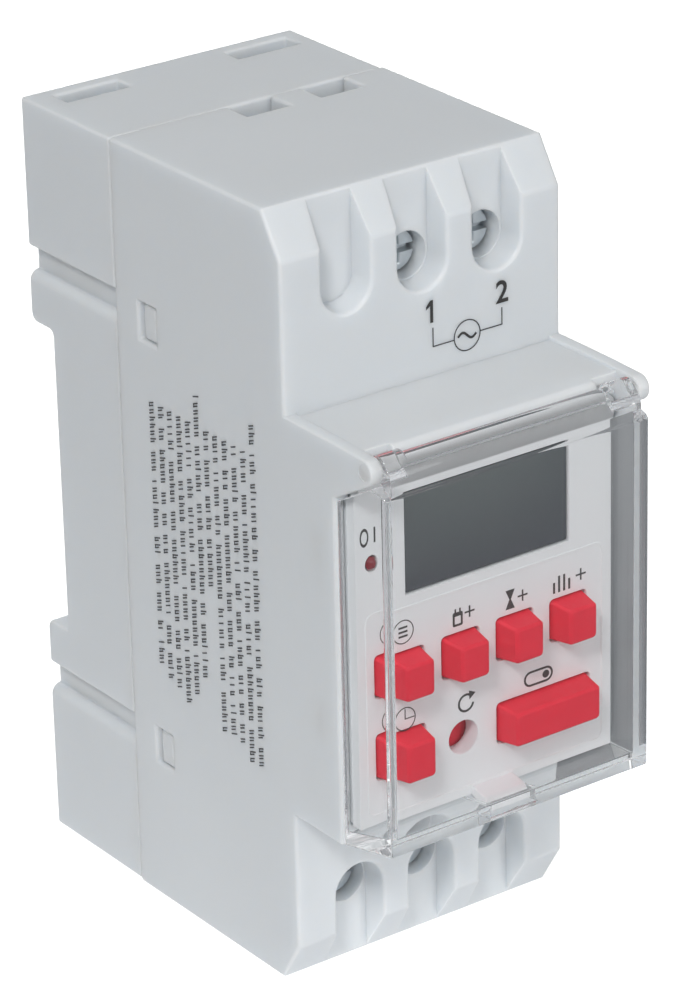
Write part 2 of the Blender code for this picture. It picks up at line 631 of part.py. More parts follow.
def make_bridge_rectifier(epoxy):
    body = box("bridge_rectifier", (3.6, 10.0), (BOARD_TOP - 3.2, BOARD_TOP - 0.6), (-25.6, -17.4))
    for x in (3.2, 9.6):
        for z in (-24.2, -19.4):
            add(body, box("lead", (x, x + 0.8), (BOARD_TOP - 2.0, BOARD_TOP), (z, z + 0.6)))
    return finish(body, epoxy, (6.8, BOARD_TOP, -21.5))


def make_varistor(epoxy):
    """Disc that stands on its edge."""
    disc = rod("varistor", "X", (BOARD_TOP - 5.2, 21.0), 4.2, -2.6, 0.6, 24)
    for z in (18.5, 23.5):
        add(disc, rod("leg", "Y", (-1.0, z), 0.4, BOARD_TOP - 5.0, BOARD_TOP, 8))
    return finish(disc, epoxy, (-1.0, BOARD_TOP, 21.0))


def make_fuse_resistor(ceramic):
    y = BOARD_TOP - 1.8
    body = rod("fuse_resistor", "Z", (12.0, y), 1.5, -2.5, 6.5, 16)
    add(body, rod("wire", "Z", (12.0, y), 0.4, -4.5, 8.5, 8))
    return finish(body, ceramic, (12.0, y, 2.0))


def make_board_link(sleeve):
    """Ribbon of four insulated wires between the two boards."""
    low, high = DISPLAY_BOARD[1] + GAP, BOARD_TOP
    link = rod("board_link", "Y", (-9.0, -23.0), 0.7, -40.0, high, 8)
    for i in range(1, 4):
        add(link, rod("wire", "Y", (-9.0 + 1.2 * i, -23.0), 0.7, -40.0, high, 8))
    add(link, box("crossing", (-9.7, -4.7), (-41.2, -39.8), (-23.6, -15.8)))
    for i in range(4):
        add(link, rod("wire", "Y", (-9.0 + 1.2 * i, -16.5), 0.7, low, -40.0, 8))
    return finish(link, sleeve, (-7.2, high, -23.0))


# ---------------------------------------------------------------- terminals


def make_clamp(steel):
    """Rectangular cage that the screw lifts against the terminal plate."""
    cage = box("terminal_clamp_1", (-3.2, 3.2), (CAGE_FRONT, CAGE_BACK), (-3.8, 3.8))
    cut(cage, box("mouth", (-2.4, 2.4), (CAGE_FRONT + 1.6, CAGE_BACK - 1.2), (-5.0, 5.0)))
    cut(cage, rod("thread", "Y", (0.0, 0.0), 2.05, CAGE_FRONT - 1.0, CAGE_FRONT + 2.0, 20))
    return finish(cage, steel)


def make_screw(steel):
    """Cheese-head clamp screw with a combined slot and cross."""
    screw = rod("terminal_screw_1", "Y", (0.0, 0.0), 1.75, HEAD_BACK - 0.5, SCREW_TIP, 20)
    add(screw, rod("head", "Y", (0.0, 0.0), HEAD_RADIUS, HEAD_FRONT, HEAD_BACK, 24))
    cut(screw, box("slot", (-3.0, 3.0), (HEAD_FRONT - 1.0, HEAD_FRONT + 1.1), (-0.4, 0.4)))
    cut(screw, box("cross", (-0.4, 0.4), (HEAD_FRONT - 1.0, HEAD_FRONT + 1.1), (-1.5, 1.5)))
    return finish(screw, steel)


def make_plate(brass):
    """Fixed bus bar: it passes through the cage and bends back to the power board."""
    profile = [(PLATE_FRONT, 3.4), (PLATE_FRONT, -8.2), (BOARD_TOP, -8.2), (BOARD_TOP, -7.2),
               (PLATE_BACK, -7.2), (PLATE_BACK, 3.4)]
    plate = prism("terminal_plate_1", "X", profile, -2.0, 2.0)
    return finish(plate, brass)


def make_terminals(steel, plated, brass):
    for make, name, finish_material in ((make_clamp, "clamp", plated), (make_screw, "screw", steel),
                                        (make_plate, "plate", brass)):
        first = make(finish_material)
        for number, (x, side) in TERMINALS.items():
            location = (x, 0.0, side * SCREW_Z)
            turn = 0.0 if side > 0 else math.pi
            if number == 1:
                first.location = Vector(location) * MM
            else:
                copy_of(first, "terminal_%s_%d" % (name, number), location, turn)


# ---------------------------------------------------------------- the whole timer


def main():
    clear_scene()
    shell_grey = material("shell_grey", (0.72, 0.745, 0.765), 0.42)
    panel_white = material("panel_white", (0.86, 0.86, 0.875), 0.45)
    clear_plastic = material("clear_plastic", (0.95, 0.96, 0.97), 0.05, alpha=0.25)
    key_red = material("key_red", (0.62, 0.035, 0.06), 0.55)
    mat_red = material("mat_red", (0.55, 0.03, 0.05), 0.6)
    lcd_grey = material("lcd_grey", (0.1, 0.115, 0.125), 0.3)
    led_red = material("led_red", (0.25, 0.01, 0.015), 0.25)
    black_plastic = material("black_plastic", (0.03, 0.03, 0.032), 0.45)
    zebra_grey = material("zebra_grey", (0.18, 0.18, 0.19), 0.7)
    laminate = material("board_green", (0.02, 0.16, 0.07), 0.4)
    relay_blue = material("relay_blue", (0.02, 0.1, 0.35), 0.4)
    capacitor_yellow = material("capacitor_yellow", (0.75, 0.5, 0.04), 0.45)
    sleeve_black = material("sleeve_black", (0.02, 0.025, 0.035), 0.35)
    varistor_blue = material("varistor_blue", (0.03, 0.12, 0.4), 0.35)
    ceramic = material("ceramic", (0.55, 0.5, 0.4), 0.6)
    wire_grey = material("wire_grey", (0.45, 0.45, 0.47), 0.5)
    zinc_steel = material("zinc_steel", (0.7, 0.7, 0.68), 0.3, 1.0)
    can_steel = material("can_steel", (0.75, 0.75, 0.76), 0.25, 1.0)
    brass = material("brass", (0.75, 0.55, 0.25), 0.3, 1.0)

    make_front_housing(shell_grey)
    make_rear_housing(shell_grey)
    make_din_clip(black_plastic)
    make_clip_spring(zinc_steel)
    make_cover(clear_plastic)
    make_front_panel(panel_white)
    for name, centre, size in key_places():
        make_key(name, centre, size, key_red)
    make_reset_key(key_red)
    make_keypad_mat(mat_red)
    make_lcd(lcd_grey)
    make_lcd_frame(black_plastic)
    make_zebra_strip(zebra_grey)
    make_led(led_red)
    make_display_board(laminate)
    make_timer_chip(black_plastic)
    make_crystal(can_steel)
    make_backup_battery(can_steel)
    make_power_board(laminate)
    make_relay(relay_blue)
    make_dropper_capacitor(capacitor_yellow)
    make_smoothing_capacitor(sleeve_black)
    make_bridge_rectifier(black_plastic)
    make_varistor(varistor_blue)
    make_fuse_resistor(ceramic)
    make_board_link(wire_grey)
    make_terminals(zinc_steel, zinc_steel, brass)


main()
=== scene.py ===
"""Looks for the DIN rail timer: materials, rounded edges, printed marks, camera and studio.

Lengths are in metres, except in the printed marks, whose places and sizes are in millimetres.
"""

import json
import math
import random

import bmesh
import bpy
import numpy as np
from mathutils import Matrix, Vector

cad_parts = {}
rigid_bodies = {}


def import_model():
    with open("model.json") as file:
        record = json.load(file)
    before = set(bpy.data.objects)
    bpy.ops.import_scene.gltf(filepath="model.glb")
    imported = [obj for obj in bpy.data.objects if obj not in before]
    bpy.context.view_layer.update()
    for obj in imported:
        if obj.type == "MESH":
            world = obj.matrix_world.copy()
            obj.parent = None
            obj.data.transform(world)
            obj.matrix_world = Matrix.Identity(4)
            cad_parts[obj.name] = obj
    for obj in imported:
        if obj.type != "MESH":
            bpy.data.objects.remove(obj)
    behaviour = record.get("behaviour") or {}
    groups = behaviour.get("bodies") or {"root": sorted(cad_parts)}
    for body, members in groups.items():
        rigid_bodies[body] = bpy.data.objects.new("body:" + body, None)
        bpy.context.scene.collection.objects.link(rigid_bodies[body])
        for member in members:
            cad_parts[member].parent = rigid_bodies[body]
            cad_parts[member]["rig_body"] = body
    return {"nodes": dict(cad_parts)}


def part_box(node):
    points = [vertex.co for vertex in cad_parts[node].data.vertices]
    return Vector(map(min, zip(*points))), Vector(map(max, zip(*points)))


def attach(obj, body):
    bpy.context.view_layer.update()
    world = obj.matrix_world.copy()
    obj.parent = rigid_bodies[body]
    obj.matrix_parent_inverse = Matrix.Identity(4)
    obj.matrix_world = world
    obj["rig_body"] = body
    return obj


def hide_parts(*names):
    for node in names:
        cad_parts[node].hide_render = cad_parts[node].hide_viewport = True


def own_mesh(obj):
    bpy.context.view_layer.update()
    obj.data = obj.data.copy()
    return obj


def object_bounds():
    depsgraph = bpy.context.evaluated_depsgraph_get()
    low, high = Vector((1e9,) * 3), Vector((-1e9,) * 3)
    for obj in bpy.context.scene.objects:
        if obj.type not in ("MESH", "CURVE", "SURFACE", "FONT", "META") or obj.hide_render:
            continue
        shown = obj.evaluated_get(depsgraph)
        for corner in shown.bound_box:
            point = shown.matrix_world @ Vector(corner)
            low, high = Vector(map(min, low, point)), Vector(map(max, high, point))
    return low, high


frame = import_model()
CAD_LOW, CAD_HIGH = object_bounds()

MM = 0.001

# ---------------------------------------------------------------- places

LCD_LOW, LCD_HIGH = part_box("lcd_glass")
PANEL_FACE = -0.0538                # front of the panel's plate, behind its latch tab
TERMINAL_FACE = -0.0437             # front of the terminal blocks
LEFT_SIDE = -0.018                  # left side of the housing
LIP_SHADE_FROM = 0.0165             # height on the panel where the painted shade under the roof lip starts
LIP_SHADE_REACH = 0.0025            # and how far up it takes to get full

# ---------------------------------------------------------------- material building blocks


def new_look(name):
    """A material with its shader and its object coordinates."""
    made = bpy.data.materials.new(name)
    made.use_nodes = True
    tree = made.node_tree
    place = tree.nodes.new("ShaderNodeTexCoord").outputs["Object"]
    return made, tree, tree.nodes["Principled BSDF"], place


def noise(tree, place, size, detail=3.0, stretch=None):
    """Noise whose blobs are about size across; stretch scales the coordinates first."""
    if stretch is not None:
        mapping = tree.nodes.new("ShaderNodeMapping")
        mapping.inputs["Scale"].default_value = stretch
        tree.links.new(place, mapping.inputs["Vector"])
        place = mapping.outputs["Vector"]
    made = tree.nodes.new("ShaderNodeTexNoise")
    made.inputs["Scale"].default_value = 1.0 / size
    made.inputs["Detail"].default_value = detail
    tree.links.new(place, made.inputs["Vector"])
    return made.outputs["Fac"]


def spread(tree, value, low, high, start=0.3, end=0.7):
    """Maps a value from start..end to low..high."""
    made = tree.nodes.new("ShaderNodeMapRange")
    made.inputs["From Min"].default_value = start
    made.inputs["From Max"].default_value = end
    made.inputs["To Min"].default_value = low
    made.inputs["To Max"].default_value = high
    tree.links.new(value, made.inputs["Value"])
    return made.outputs["Result"]


def mix_colour(tree, share, first, second):
    """Blends two colours, each a tuple or an output of the tree."""
    made = tree.nodes.new("ShaderNodeMix")
    made.data_type = "RGBA"
    tree.links.new(share, made.inputs["Factor"])
    for socket, colour in ((made.inputs[6], first), (made.inputs[7], second)):
        if isinstance(colour, tuple):
            socket.default_value = (*colour, 1.0)
        else:
            tree.links.new(colour, socket)
    return made.outputs[2]


def mix_value(tree, share, first, last):
    """Blends from a value in the tree to a plain number."""
    made = tree.nodes.new("ShaderNodeMix")
    made.inputs[3].default_value = last
    tree.links.new(share, made.inputs["Factor"])
    tree.links.new(first, made.inputs[2])
    return made.outputs[0]


def bump(tree, height, depth, below=None):
    """A normal from a height of 0..1 that stands for depth metres."""
    made = tree.nodes.new("ShaderNodeBump")
    made.inputs["Strength"].default_value = 1.0
    made.inputs["Distance"].default_value = depth
    tree.links.new(height, made.inputs["Height"])
    if below is not None:
        tree.links.new(below, made.inputs["Normal"])
    return made.outputs["Normal"]


def shade(colour, factor):
    """The colour made darker or lighter."""
    return tuple(channel * factor for channel in colour)


def moulded_plastic(name, colour, roughness, grain=0.00035, depth=0.0000025,
                    lip_shade=None, soft=0.0):
    """Moulded plastic: a fine eroded grain, slow waviness and faint mottling.

    With a lip_shade its colour darkens by that factor at the top of the panel: painted shade under the
    roof lip.
    A soft plastic lets light travel that far inside it, so edges and pockets glow.
    """
    made, tree, shader, place = new_look(name)
    if soft:
        shader.inputs["Subsurface Weight"].default_value = 1.0
        shader.inputs["Subsurface Radius"].default_value = (0.95, 1.0, 1.05)
        shader.inputs["Subsurface Scale"].default_value = soft
    mottle = noise(tree, place, 0.02, 2.0)
    tint = mix_colour(tree, mottle, shade(colour, 0.975), shade(colour, 1.02))
    # painted shade: the colour darkens towards the top of the panel, under the roof lip
    if lip_shade is not None:
        parts = tree.nodes.new("ShaderNodeSeparateXYZ")
        tree.links.new(place, parts.inputs["Vector"])
        shaded = spread(tree, parts.outputs["Z"], 0.0, 1.0,
                        LIP_SHADE_FROM, LIP_SHADE_FROM + LIP_SHADE_REACH)
        tint = mix_colour(tree, shaded, tint, shade(colour, lip_shade))
    tree.links.new(tint, shader.inputs["Base Color"])
    fine = noise(tree, place, grain, 2.0)
    tree.links.new(spread(tree, fine, roughness - 0.05, roughness + 0.07), shader.inputs["Roughness"])
    wave = bump(tree, noise(tree, place, 0.012, 1.0), 0.00004)
    tree.links.new(bump(tree, fine, depth, wave), shader.inputs["Normal"])
    return made


def rubber(name, colour):
    """Silicone rubber: matte, with a soft grain."""
    made, tree, shader, place = new_look(name)
    fine = noise(tree, place, 0.00025, 3.0)
    broad = noise(tree, place, 0.003, 2.0)
    tint = mix_colour(tree, broad, shade(colour, 0.94), shade(colour, 1.05))
    tree.links.new(tint, shader.inputs["Base Color"])
    tree.links.new(spread(tree, fine, 0.5, 0.68), shader.inputs["Roughness"])
    shader.inputs["Specular IOR Level"].default_value = 0.3
    tree.links.new(bump(tree, fine, 0.000006), shader.inputs["Normal"])
    return made


def metal(name, colour, roughness, lay, metallic=1.0):
    """Plated or rolled metal with fine scratches along one direction (lay stretches them)."""
    made, tree, shader, place = new_look(name)
    shader.inputs["Metallic"].default_value = metallic
    scratches = noise(tree, place, 0.0002, 4.0, stretch=lay)
    stain = noise(tree, place, 0.002, 3.0)
    tint = mix_colour(tree, stain, shade(colour, 0.82), colour)
    tree.links.new(tint, shader.inputs["Base Color"])
    tree.links.new(spread(tree, scratches, roughness - 0.07, roughness + 0.12),
                   shader.inputs["Roughness"])
    tree.links.new(bump(tree, scratches, 0.000004), shader.inputs["Normal"])
    return made


TRAPPED_DEPTH = 5.0      # light that has bounced this often inside the clear cover counts as trapped
TRAPPED_GLOW = 0.022     # and glows by this much at every further bounce, painted light in place of scattered light


def clear_plastic(name):
    """Clear polycarbonate: it bends light, lamps reach through it and a painted glow keeps trapped light
    pale.
    """
    made, tree, shader, place = new_look(name)
    shader.inputs["Base Color"].default_value = (0.985, 0.99, 0.99, 1.0)
    shader.inputs["Transmission Weight"].default_value = 1.0
    shader.inputs["IOR"].default_value = 1.5
    smear = noise(tree, place, 0.006, 3.0)
    tree.links.new(spread(tree, smear, 0.005, 0.011), shader.inputs["Roughness"])
    tree.links.new(bump(tree, noise(tree, place, 0.008, 1.0), 0.00001), shader.inputs["Normal"])
    paths = tree.nodes.new("ShaderNodeLightPath")
    # painted glow: the cover emits a little light on rays that have bounced inside it often
    glow = spread(tree, paths.outputs["Ray Depth"], 0.0, TRAPPED_GLOW,
                  TRAPPED_DEPTH, TRAPPED_DEPTH + 1.0)
    shader.inputs["Emission Color"].default_value = (0.95, 0.97, 1.0, 1.0)
    tree.links.new(glow, shader.inputs["Emission Strength"])
    passing = tree.nodes.new("ShaderNodeBsdfTransparent")
    passing.inputs["Color"].default_value = (0.98, 0.985, 0.985, 1.0)
    choice = tree.nodes.new("ShaderNodeMixShader")
    tree.links.new(paths.outputs["Is Shadow Ray"], choice.inputs["Fac"])
    tree.links.new(shader.outputs["BSDF"], choice.inputs[1])
    tree.links.new(passing.outputs["BSDF"], choice.inputs[2])
    tree.links.new(choice.outputs["Shader"], tree.nodes["Material Output"].inputs["Surface"])
    return made


LCD_DARK = (0.06, 0.064, 0.075)         # the display's lower edge
LCD_PAINTED_SHEEN = (0.125, 0.143, 0.143)        # painted sheen at its upper edge, from the left side to the middle
LCD_RIGHT = 0.55                        # share of that painted sheen left at the right side


def lcd_look(name):
    """Unpowered display: dark grey polariser behind clear glass, with a painted sheen that makes it
    paler towards the top and less so at the right.
    """
    made, tree, shader, place = new_look(name)
    parts = tree.nodes.new("ShaderNodeSeparateXYZ")
    tree.links.new(place, parts.inputs["Vector"])
    height = spread(tree, parts.outputs["Z"], 0.0, 1.0, LCD_LOW.z, LCD_HIGH.z)
    across = spread(tree, parts.outputs["X"], 1.0, LCD_RIGHT, 0.0, LCD_HIGH.x)
    # painted sheen: the colour gets paler towards the top and the left
    light = tree.nodes.new("ShaderNodeMath")
    light.operation = "MULTIPLY"
    tree.links.new(height, light.inputs[0])
    tree.links.new(across, light.inputs[1])
    tint = mix_colour(tree, light.outputs["Value"], LCD_DARK, LCD_PAINTED_SHEEN)
    tree.links.new(tint, shader.inputs["Base Color"])
    film = noise(tree, place, 0.009, 1.0)
    tree.links.new(spread(tree, film, 0.262, 0.272), shader.inputs["Roughness"])
    shader.inputs["Specular IOR Level"].default_value = 0.35
    return made


def lens(name, colour):
    """Tinted epoxy of the lamp."""
    made, tree, shader, place = new_look(name)
    cloud = noise(tree, place, 0.0008, 2.0)
    tree.links.new(mix_colour(tree, cloud, shade(colour, 0.7), colour), shader.inputs["Base Color"])
    tree.links.new(spread(tree, cloud, 0.12, 0.25), shader.inputs["Roughness"])
    shader.inputs["Coat Weight"].default_value = 0.6
    shader.inputs["Coat Roughness"].default_value = 0.05
    return made


def laminate(name):
    """Circuit board: green mask over copper tracks, with the weave of the glass cloth."""
    made, tree, shader, place = new_look(name)
    turned = tree.nodes.new("ShaderNodeMapping")
    turned.inputs["Rotation"].default_value = (math.radians(90.0), 0.0, 0.0)
    tree.links.new(place, turned.inputs["Vector"])
    tracks = tree.nodes.new("ShaderNodeTexBrick")
    tracks.inputs["Scale"].default_value = 1.0
    tracks.inputs["Brick Width"].default_value = 0.0055
    tracks.inputs["Row Height"].default_value = 0.0021
    tracks.inputs["Mortar Size"].default_value = 0.00028
    tracks.inputs["Mortar Smooth"].default_value = 0.15
    tree.links.new(turned.outputs["Vector"], tracks.inputs["Vector"])
    weave = noise(tree, place, 0.0004, 2.0, stretch=(1.0, 1.0, 3.0))
    mask = mix_colour(tree, weave, (0.012, 0.11, 0.045), (0.02, 0.15, 0.06))
    tint = mix_colour(tree, tracks.outputs["Fac"], mask, (0.05, 0.24, 0.09))
    tree.links.new(tint, shader.inputs["Base Color"])
    tree.links.new(spread(tree, weave, 0.28, 0.42), shader.inputs["Roughness"])
    tree.links.new(bump(tree, tracks.outputs["Fac"], 0.00003, bump(tree, weave, 0.00001)),
                   shader.inputs["Normal"])
    return made


def ink(name, colour):
    """Pad-printed ink: slightly uneven cover."""
    made, tree, shader, place = new_look(name)
    cover = noise(tree, place, 0.0002, 3.0)
    tree.links.new(mix_colour(tree, cover, shade(colour, 0.8), shade(colour, 1.5)),
                   shader.inputs["Base Color"])
    tree.links.new(spread(tree, cover, 0.45, 0.65), shader.inputs["Roughness"])
    return made


SHELL = moulded_plastic("shell_plastic", (0.785, 0.812, 0.835), 0.36, soft=0.0016)
PANEL = moulded_plastic("panel_plastic", (0.85, 0.865, 0.885), 0.42, lip_shade=0.65)
DARK_INK = ink("dark_ink", (0.035, 0.033, 0.032))
GREY_INK = ink("grey_ink", (0.075, 0.075, 0.077))
FILM = moulded_plastic("label_film", (0.87, 0.885, 0.9), 0.3)
LOOKS = {
    "shell_grey": SHELL,
    "panel_white": PANEL,
    "clear_plastic": clear_plastic("cover_clear"),
    "key_red": rubber("key_rubber", (0.7, 0.014, 0.037)),
    "mat_red": rubber("mat_rubber", (0.5, 0.03, 0.05)),
    "lcd_grey": lcd_look("lcd_screen"),
    "led_red": lens("lamp_lens", (0.2, 0.008, 0.015)),
    "black_plastic": moulded_plastic("black_nylon", (0.022, 0.022, 0.024), 0.45),
    "zebra_grey": rubber("zebra_rubber", (0.12, 0.12, 0.13)),
    "board_green": laminate("board_laminate"),
    "relay_blue": moulded_plastic("relay_case", (0.02, 0.09, 0.32), 0.35),
    "capacitor_yellow": moulded_plastic("film_capacitor_case", (0.75, 0.48, 0.04), 0.4),
    "sleeve_black": moulded_plastic("shrink_sleeve", (0.02, 0.022, 0.035), 0.3),
    "varistor_blue": moulded_plastic("dipped_epoxy", (0.03, 0.11, 0.38), 0.25, 0.0006, 0.00001),
    "ceramic": moulded_plastic("ceramic_body", (0.5, 0.45, 0.36), 0.6),
    "wire_grey": moulded_plastic("wire_sleeve", (0.4, 0.4, 0.42), 0.45),
    "zinc_steel": metal("zinc_plate", (0.74, 0.79, 0.82), 0.38, (1.0, 0.15, 1.0), 0.7),
    "can_steel": metal("nickel_can", (0.74, 0.73, 0.71), 0.22, (0.2, 1.0, 1.0)),
    "brass": metal("rolled_brass", (0.78, 0.55, 0.24), 0.28, (0.2, 1.0, 1.0)),
}

# ---------------------------------------------------------------- rounded edges

HARD_ANGLE = math.radians(28.0)     # a sharper fold than this is a hard edge
FLAT_ANGLE = math.radians(0.4)      # faces that meet at less than this are one face
SAME_POINT = 0.000002               # corners closer than this are one corner
IN_LINE = 0.75                      # cosine of the widest turn inside one chain of edges
ROOM_SHARE = 0.42                   # an edge may use this share of the room around it
NO_LIMIT = 1.0                      # more room than any edge can use
GAP_POINTS = 7                      # places along an edge where its room is measured
TINY = 1e-18                        # keeps a division by a squared length safe
FACE_PULL = 90                      # how strongly large faces keep their normals, of 100


def hard_chains(hard):
    """Groups hard edges that run on nearly in line, so that each group gets one radius."""
    chain_of, chains = {}, []
    for first in hard:
        if first in chain_of:
            continue
        members, waiting = [], [first]
        chain_of[first] = len(chains)
        while waiting:
            edge = waiting.pop()
            members.append(edge)
            for corner in edge.verts:
                meeting = [e for e in corner.link_edges if e in hard and e is not edge]
                if len(meeting) != 1 or meeting[0] in chain_of:
                    continue
                arriving = (corner.co - edge.other_vert(corner).co).normalized()
                leaving = (meeting[0].other_vert(corner).co - corner.co).normalized()
                if arriving.dot(leaving) > IN_LINE:
                    chain_of[meeting[0]] = len(chains)
                    waiting.append(meeting[0])
        chains.append(members)
    return chain_of, chains


def edge_gaps(start, run, starts, runs):
    """Distance from points along one edge to every edge."""
    steps = np.linspace(0.0, 1.0, GAP_POINTS)
    points = start + steps[:, None] * run
    offset = points[:, None, :] - starts[None, :, :]
    length = np.maximum((runs * runs).sum(1), TINY)
    along = np.clip((offset * runs[None]).sum(2) / length, 0.0, 1.0)
    return np.linalg.norm(offset - along[:, :, None] * runs[None], axis=2).min(0)


def chain_room(listed, chain_of, chains):
    """The widest rounding that each chain has room for."""
    starts = np.array([edge.verts[0].co for edge in listed])
    runs = np.array([edge.verts[1].co for edge in listed]) - starts
    ends = np.array([[vert.index for vert in edge.verts] for edge in listed])
    chain = np.array([chain_of[edge] for edge in listed])
    room = [NO_LIMIT] * len(chains)
    for i in range(len(listed)):
        gaps = edge_gaps(starts[i], runs[i], starts, runs)
        touching = (ends == ends[i, 0]).any(1) | (ends == ends[i, 1]).any(1)
        gaps[touching | (chain == chain[i])] = NO_LIMIT
        room[chain[i]] = min(room[chain[i]], float(gaps.min()) * ROOM_SHARE)
    for number, members in enumerate(chains):
        corners = [vert for edge in members for vert in edge.verts]
        if any(corners.count(vert) == 1 for vert in corners):
            length = sum(edge.calc_length() for edge in members)
            room[number] = min(room[number], length * ROOM_SHARE)
    return room


def round_edges(item, width, segments):
    """Rounds every hard edge of a closed mesh by width, or by less where room is short."""
    shape = bmesh.new()
    shape.from_mesh(item.data)
    weight = shape.edges.layers.float.new("bevel_weight_edge")
    bmesh.ops.remove_doubles(shape, verts=shape.verts, dist=SAME_POINT)
    bmesh.ops.dissolve_limit(shape, angle_limit=FLAT_ANGLE, verts=shape.verts, edges=shape.edges)
    shape.normal_update()
    listed = [edge for edge in shape.edges if edge.calc_face_angle(0.0) > HARD_ANGLE]
    chain_of, chains = hard_chains(dict.fromkeys(listed))
    room = chain_room(listed, chain_of, chains)
    for edge in listed:
        edge[weight] = min(1.0, room[chain_of[edge]] / width)
    shape.to_mesh(item.data)
    shape.free()
    item.data.shade_smooth()
    rounding = item.modifiers.new("rounding", "BEVEL")
    rounding.width = width
    rounding.segments = segments
    rounding.limit_method = "WEIGHT"
    rounding.use_clamp_overlap = False
    rounding.loop_slide = False
    rounding.miter_outer = "MITER_SHARP"
    even = item.modifiers.new("even_normals", "WEIGHTED_NORMAL")
    even.weight = FACE_PULL


def rounded_node(node, width, segments):
    """A piece that stands for a CAD node: the same solid with rounded edges."""
    source = frame["nodes"][node]
    mesh = bpy.data.meshes.new(node + "_rounded")
    shape = bmesh.new()
    shape.from_mesh(source.data)
    shape.to_mesh(mesh)
    shape.free()
    item = bpy.data.objects.new(node + "_rounded", mesh)
    bpy.context.collection.objects.link(item)
    round_edges(item, width, segments)
    slot = source.data.materials[0].name
    mesh.materials.clear()
    mesh.materials.append(LOOKS[slot])
    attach(item, source["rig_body"])
    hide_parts(node)


USUAL_WIDTH = 0.2 * MM              # rounding of a small part's edges
BROAD_WIDTH = 0.25 * MM             # above this width an edge gets one more facet
EDGE_WIDTHS = {
    "front_housing": 0.4 * MM,
    "rear_housing": 0.35 * MM,
    "front_panel": 0.15 * MM,
    "din_clip": 0.25 * MM,
    "lcd_glass": 0.08 * MM,
    "relay": 0.3 * MM,
    "dropper_capacitor": 0.4 * MM,
}


def round_nodes():
    """Every node but the spring, which gets a finer coil of its own."""
    for name in sorted(frame["nodes"]):
        if name != "din_clip_spring":
            width = EDGE_WIDTHS.get(name, USUAL_WIDTH)
            rounded_node(name, width, 3 if width > BROAD_WIDTH else 2)


round_nodes()

# ---------------------------------------------------------------- printed marks

# Everything in this part is in millimetres, and a plane turns it into metres in the frame.

INK_LOW, INK_HIGH = -0.01, 0.02     # ink reaches from just under the face to just above it
HAIRLINE = 0.12                     # widths of the printed lines
SYMBOL_LINE = 0.13
ICON_LINE = 0.2
BOLD_LINE = 0.26


def plane(origin, right, up):
    """A flat place for print, as a function of millimetres across, up and out."""
    origin, right, up = Vector(origin) / MM, Vector(right), Vector(up)
    return lambda a, b, out: (origin + right * a + up * b + right.cross(up) * out) * MM


def stamp(shape, outline, at, low=INK_LOW, high=INK_HIGH):
    """Adds a closed flat solid with the given outline."""
    under = [shape.verts.new(at(a, b, low)) for a, b in outline]
    over = [shape.verts.new(at(a, b, high)) for a, b in outline]
    shape.faces.new(over)
    shape.faces.new(under[::-1])
    for i in range(len(outline)):
        j = (i + 1) % len(outline)
        shape.faces.new((under[i], under[j], over[j], over[i]))


def ring(shape, outer, inner, at, low=INK_LOW, high=INK_HIGH):
    """Adds a closed flat ring between two outlines with the same number of points."""
    count = len(outer)
    loops = [[shape.verts.new(at(a, b, out)) for a, b in outline]
             for outline, out in ((outer, low), (outer, high), (inner, high), (inner, low))]
    for first, last in zip(loops, loops[1:] + loops[:1]):
        for i in range(count):
            j = (i + 1) % count
            shape.faces.new((first[i], first[j], last[j], last[i]))


def bar(shape, start, end, width, at):
    """Adds a straight stroke."""
    along = Vector(end) - Vector(start)
    side = Vector((-along.y, along.x)).normalized() * width / 2.0
    corners = (Vector(start) - side, Vector(end) - side, Vector(end) + side, Vector(start) + side)
    stamp(shape, [tuple(corner) for corner in corners], at)


def stroke(shape, points, width, at):
    """Adds a curved stroke through points as one closed ribbon."""
    left, right = [], []
    for i, point in enumerate(points):
        before, after = Vector(points[max(i - 1, 0)]), Vector(points[min(i + 1, len(points) - 1)])
        along = (after - before).normalized()
        side = Vector((-along.y, along.x)) * width / 2.0
        left.append(tuple(Vector(point) + side))
        right.append(tuple(Vector(point) - side))
    stamp(shape, right + left[::-1], at)


def arc(centre, radius, start, end, steps, tall=1.0):
    """Points from one angle to another, in degrees; tall stretches them upwards."""
    points = []
    for i in range(steps + 1):
        angle = math.radians(start + (end - start) * i / steps)
        points.append((centre[0] + radius * math.cos(angle),
                       centre[1] + radius * tall * math.sin(angle)))
    return points


def oval(shape, centre, radius, width, at, tall=1.0):
    """Adds a circle's line; tall stretches it upwards."""
    turns = (0.0, 350.0, 35)
    ring(shape, arc(centre, radius + width / 2.0, *turns, tall=tall),
         arc(centre, radius - width / 2.0, *turns, tall=tall), at)


def rounded_rectangle(low, high, radius, steps=6):
    """Outline between two corners, with an arc at each corner."""
    points = []
    for turn, (a, b) in enumerate(((1, 1), (0, 1), (0, 0), (1, 0))):
        corner = ((high[0] - radius) if a else (low[0] + radius),
                  (high[1] - radius) if b else (low[1] + radius))
        points += arc(corner, radius, 90.0 * turn, 90.0 * turn + 90.0, steps)
    return points


def plus(shape, centre, size, width, at):
    """Adds a plus sign as one outline."""
    a, b = size / 2.0, width / 2.0
    corners = ((b, b), (b, a), (-b, a), (-b, b), (-a, b), (-a, -b), (-b, -b), (-b, -a),
               (b, -a), (b, -b), (a, -b), (a, b))
    stamp(shape, [(centre[0] + x, centre[1] + y) for x, y in corners], at)


def printed(name, shape, material):
    """Turns a shape into a piece that rides on the housing."""
    bmesh.ops.recalc_face_normals(shape, faces=shape.faces)
    mesh = bpy.data.meshes.new(name)
    shape.to_mesh(mesh)
    shape.free()
    item = bpy.data.objects.new(name, mesh)
    bpy.context.collection.objects.link(item)
    mesh.materials.append(material)
    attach(item, "housing")
    return item


ON_PANEL = plane((0.0, PANEL_FACE, 0.0), (1, 0, 0), (0, 0, 1))
ON_FACE = plane((0.0, TERMINAL_FACE, 0.0), (1, 0, 0), (0, 0, 1))
ON_SIDE = plane((LEFT_SIDE, 0.0, 0.0), (0, -1, 0), (0, 0, 1))


